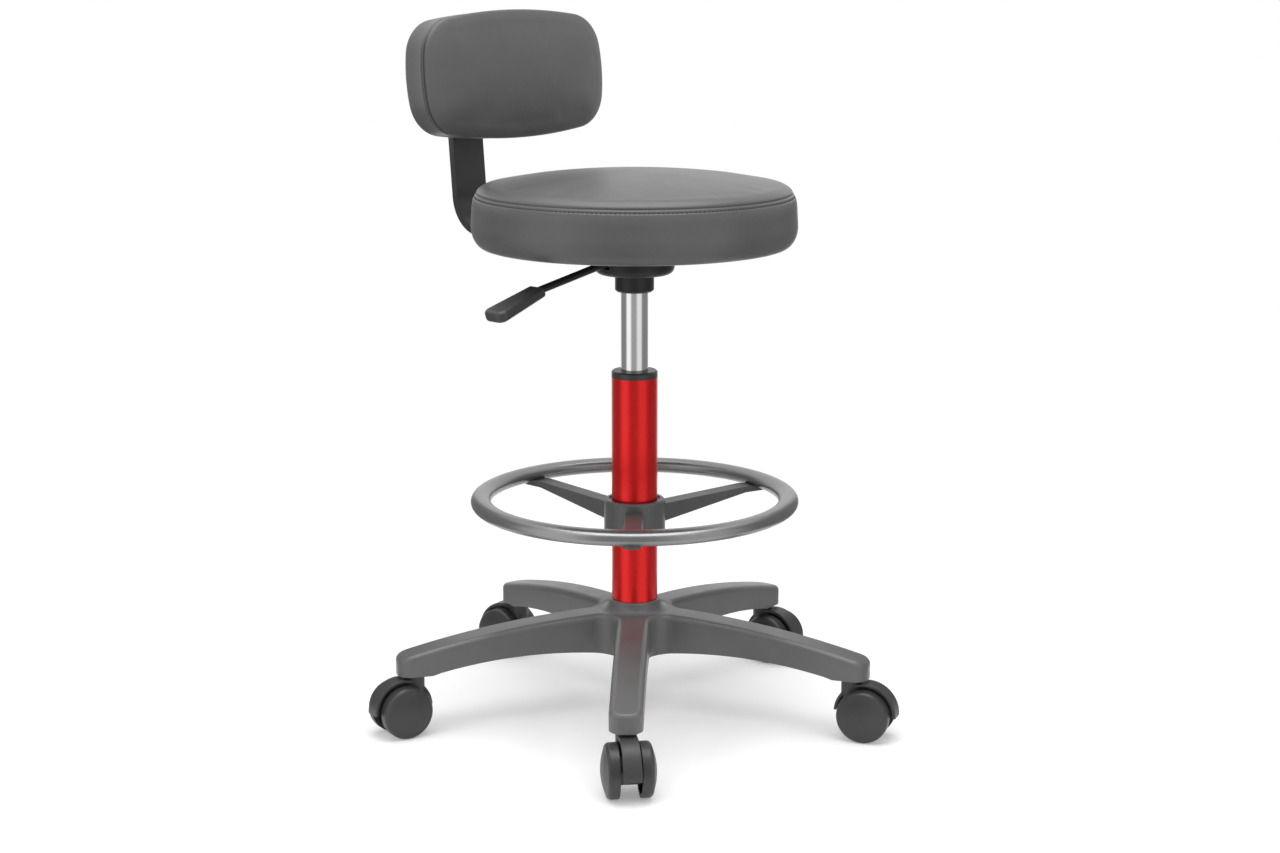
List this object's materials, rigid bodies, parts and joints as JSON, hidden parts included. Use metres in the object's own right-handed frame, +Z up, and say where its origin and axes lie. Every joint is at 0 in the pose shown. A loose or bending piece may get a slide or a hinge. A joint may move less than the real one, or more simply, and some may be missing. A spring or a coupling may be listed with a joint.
{
  "type": "adjustable work stool",
  "caption": "Height-adjustable swivel work stool with round padded seat, small lumbar pad on a flat bar, red gas column, foot ring and five-star base on twin-wheel casters.",
  "frame": {"origin": "on the floor under the axis of the gas column", "axes": "+Z up along the column; the sitter faces -Y, the lumbar pad stands at +Y, the height lever reaches out at -X"},
  "size_m": [0.5461, 0.57, 0.7658],
  "materials": {
    "upholstery": "satin",
    "base_nylon": "matte",
    "ring_finish": "satin",
    "carrier_nylon": "matte",
    "column_red": "satin",
    "plated_cylinder": "satin",
    "black_nylon": "matte",
    "black_steel": "satin",
    "bright_steel": "satin",
    "black_screws": "satin",
    "buffer_rubber": "matte",
    "plywood": "matte",
    "dust_cloth": "matte",
    "caster_hood_nylon": "satin",
    "caster_wheel_nylon": "satin"
  },
  "bodies": {
    "base": {"star_base": "base_nylon", "caster_stems": "bright_steel", "caster_grip_rings": "bright_steel", "column_tube": "column_red", "column_bush": "black_nylon", "bearing_lower_race": "bright_steel"},
    "gas_rod": {"piston_rod": "bright_steel", "piston": "black_nylon", "rod_clip": "bright_steel", "bearing_balls": "bright_steel", "bearing_upper_race": "bright_steel", "rubber_buffer": "buffer_rubber"},
    "seat": {"gas_cylinder": "plated_cylinder", "rod_guide": "black_nylon", "valve_body": "black_nylon", "mechanism_plate": "black_steel", "mechanism_bowl": "black_steel", "socket_collar": "black_steel", "seat_bolts": "black_screws", "seat_t_nuts": "bright_steel", "seat_board": "plywood", "seat_dust_cover": "dust_cloth", "seat_cushion": "upholstery", "lever_pivot_pin": "bright_steel", "back_bar": "black_steel", "back_bar_bolts": "black_screws", "back_board": "plywood", "back_cushion": "upholstery", "back_mount": "black_nylon", "back_pad_screws": "black_screws"},
    "lever": {"lever_rod": "black_steel", "lever_paddle": "black_nylon"},
    "release_pin": {"release_pin": "bright_steel"},
    "foot_ring_collet": {"foot_ring_collet": "carrier_nylon"},
    "foot_ring": {"foot_ring": "ring_finish", "foot_ring_carrier": "carrier_nylon", "foot_ring_screws": "black_screws"},
    "caster_1": {"caster_1_hood": "caster_hood_nylon", "caster_1_axle": "bright_steel"},
    "caster_1_wheel_left": {"caster_1_wheel_left": "caster_wheel_nylon"},
    "caster_1_wheel_right": {"caster_1_wheel_right": "caster_wheel_nylon"},
    "caster_2": {"caster_2_hood": "caster_hood_nylon", "caster_2_axle": "bright_steel"},
    "caster_2_wheel_left": {"caster_2_wheel_left": "caster_wheel_nylon"},
    "caster_2_wheel_right": {"caster_2_wheel_right": "caster_wheel_nylon"},
    "caster_3": {"caster_3_hood": "caster_hood_nylon", "caster_3_axle": "bright_steel"},
    "caster_3_wheel_left": {"caster_3_wheel_left": "caster_wheel_nylon"},
    "caster_3_wheel_right": {"caster_3_wheel_right": "caster_wheel_nylon"},
    "caster_4": {"caster_4_hood": "caster_hood_nylon", "caster_4_axle": "bright_steel"},
    "caster_4_wheel_left": {"caster_4_wheel_left": "caster_wheel_nylon"},
    "caster_4_wheel_right": {"caster_4_wheel_right": "caster_wheel_nylon"},
    "caster_5": {"caster_5_hood": "caster_hood_nylon", "caster_5_axle": "bright_steel"},
    "caster_5_wheel_left": {"caster_5_wheel_left": "caster_wheel_nylon"},
    "caster_5_wheel_right": {"caster_5_wheel_right": "caster_wheel_nylon"}
  },
  "joints": [
    {"name": "seat_swivel", "type": "hinge", "parent": "base", "child": "gas_rod", "pos_m": [0, 0, 0.08], "axis": [0, 0, 1], "continuous": true},
    {"name": "seat_height", "type": "slide", "parent": "gas_rod", "child": "seat", "axis": [0, 0, 1], "range_m": [-0.078, 0.122]},
    {"name": "lever_lift", "type": "hinge", "parent": "seat", "child": "lever", "pos_m": [-0.031, 0, 0.505], "axis": [0, 1, 0], "range_deg": [0, 6], "stiffness_Nm_per_rad": 12, "springref_deg": -2.86},
    {"name": "release_pin_press", "type": "slide", "parent": "seat", "child": "release_pin", "axis": [0, 0, -1], "range_m": [0, 0.0037]},
    {"name": "foot_ring_height", "type": "slide", "parent": "base", "child": "foot_ring_collet", "axis": [0, 0, 1], "range_m": [-0.065, 0.095]},
    {"name": "foot_ring_twist", "type": "hinge", "parent": "foot_ring_collet", "child": "foot_ring", "pos_m": [0, 0, 0.2425], "axis": [0, 0, 1], "range_deg": [0, 90]},
    {"name": "caster_1_swivel", "type": "hinge", "parent": "base", "child": "caster_1", "pos_m": [-0.18138, -0.16914, 0.06], "axis": [0, 0, 1], "continuous": true},
    {"name": "caster_1_roll_left", "type": "hinge", "parent": "caster_1", "child": "caster_1_wheel_left", "pos_m": [-0.19161, -0.18271, 0.0285], "axis": [0.7986, -0.6018, 0], "continuous": true},
    {"name": "caster_1_roll_right", "type": "hinge", "parent": "caster_1", "child": "caster_1_wheel_right", "pos_m": [-0.19161, -0.18271, 0.0285], "axis": [0.7986, -0.6018, 0], "continuous": true},
    {"name": "caster_2_swivel", "type": "hinge", "parent": "base", "child": "caster_2", "pos_m": [0.10481, -0.22476, 0.06], "axis": [0, 0, 1], "continuous": true},
    {"name": "caster_2_roll_left", "type": "hinge", "parent": "caster_2", "child": "caster_2_wheel_left", "pos_m": [0.11199, -0.24017, 0.0285], "axis": [0.9063, 0.4226, 0], "continuous": true},
    {"name": "caster_2_roll_right", "type": "hinge", "parent": "caster_2", "child": "caster_2_wheel_right", "pos_m": [0.11199, -0.24017, 0.0285], "axis": [0.9063, 0.4226, 0], "continuous": true},
    {"name": "caster_3_swivel", "type": "hinge", "parent": "base", "child": "caster_3", "pos_m": [0.24615, 0.03022, 0.06], "axis": [0, 0, 1], "continuous": true},
    {"name": "caster_3_roll_left", "type": "hinge", "parent": "caster_3", "child": "caster_3_wheel_left", "pos_m": [0.24881, 0.01343, 0.0285], "axis": [0.9877, 0.1564, 0], "continuous": true},
    {"name": "caster_3_roll_right", "type": "hinge", "parent": "caster_3", "child": "caster_3_wheel_right", "pos_m": [0.24881, 0.01343, 0.0285], "axis": [0.9877, 0.1564, 0], "continuous": true},
    {"name": "caster_4_swivel", "type": "hinge", "parent": "base", "child": "caster_4", "pos_m": [0.04732, 0.24344, 0.06], "axis": [0, 0, 1], "continuous": true},
    {"name": "caster_4_roll_left", "type": "hinge", "parent": "caster_4", "child": "caster_4_wheel_left", "pos_m": [0.0435, 0.26001, 0.0285], "axis": [-0.9744, -0.225, 0], "continuous": true},
    {"name": "caster_4_roll_right", "type": "hinge", "parent": "caster_4", "child": "caster_4_wheel_right", "pos_m": [0.0435, 0.26001, 0.0285], "axis": [-0.9744, -0.225, 0], "continuous": true},
    {"name": "caster_5_swivel", "type": "hinge", "parent": "base", "child": "caster_5", "pos_m": [-0.21691, 0.12023, 0.06], "axis": [0, 0, 1], "continuous": true},
    {"name": "caster_5_roll_left", "type": "hinge", "parent": "caster_5", "child": "caster_5_wheel_left", "pos_m": [-0.23347, 0.12406, 0.0285], "axis": [-0.225, -0.9744, 0], "continuous": true},
    {"name": "caster_5_roll_right", "type": "hinge", "parent": "caster_5", "child": "caster_5_wheel_right", "pos_m": [-0.23347, 0.12406, 0.0285], "axis": [-0.225, -0.9744, 0], "continuous": true}
  ],
  "couplings": [
    {"joint": "release_pin_press", "follows": "lever_lift", "m_per_rad": 0.035}
  ]
}
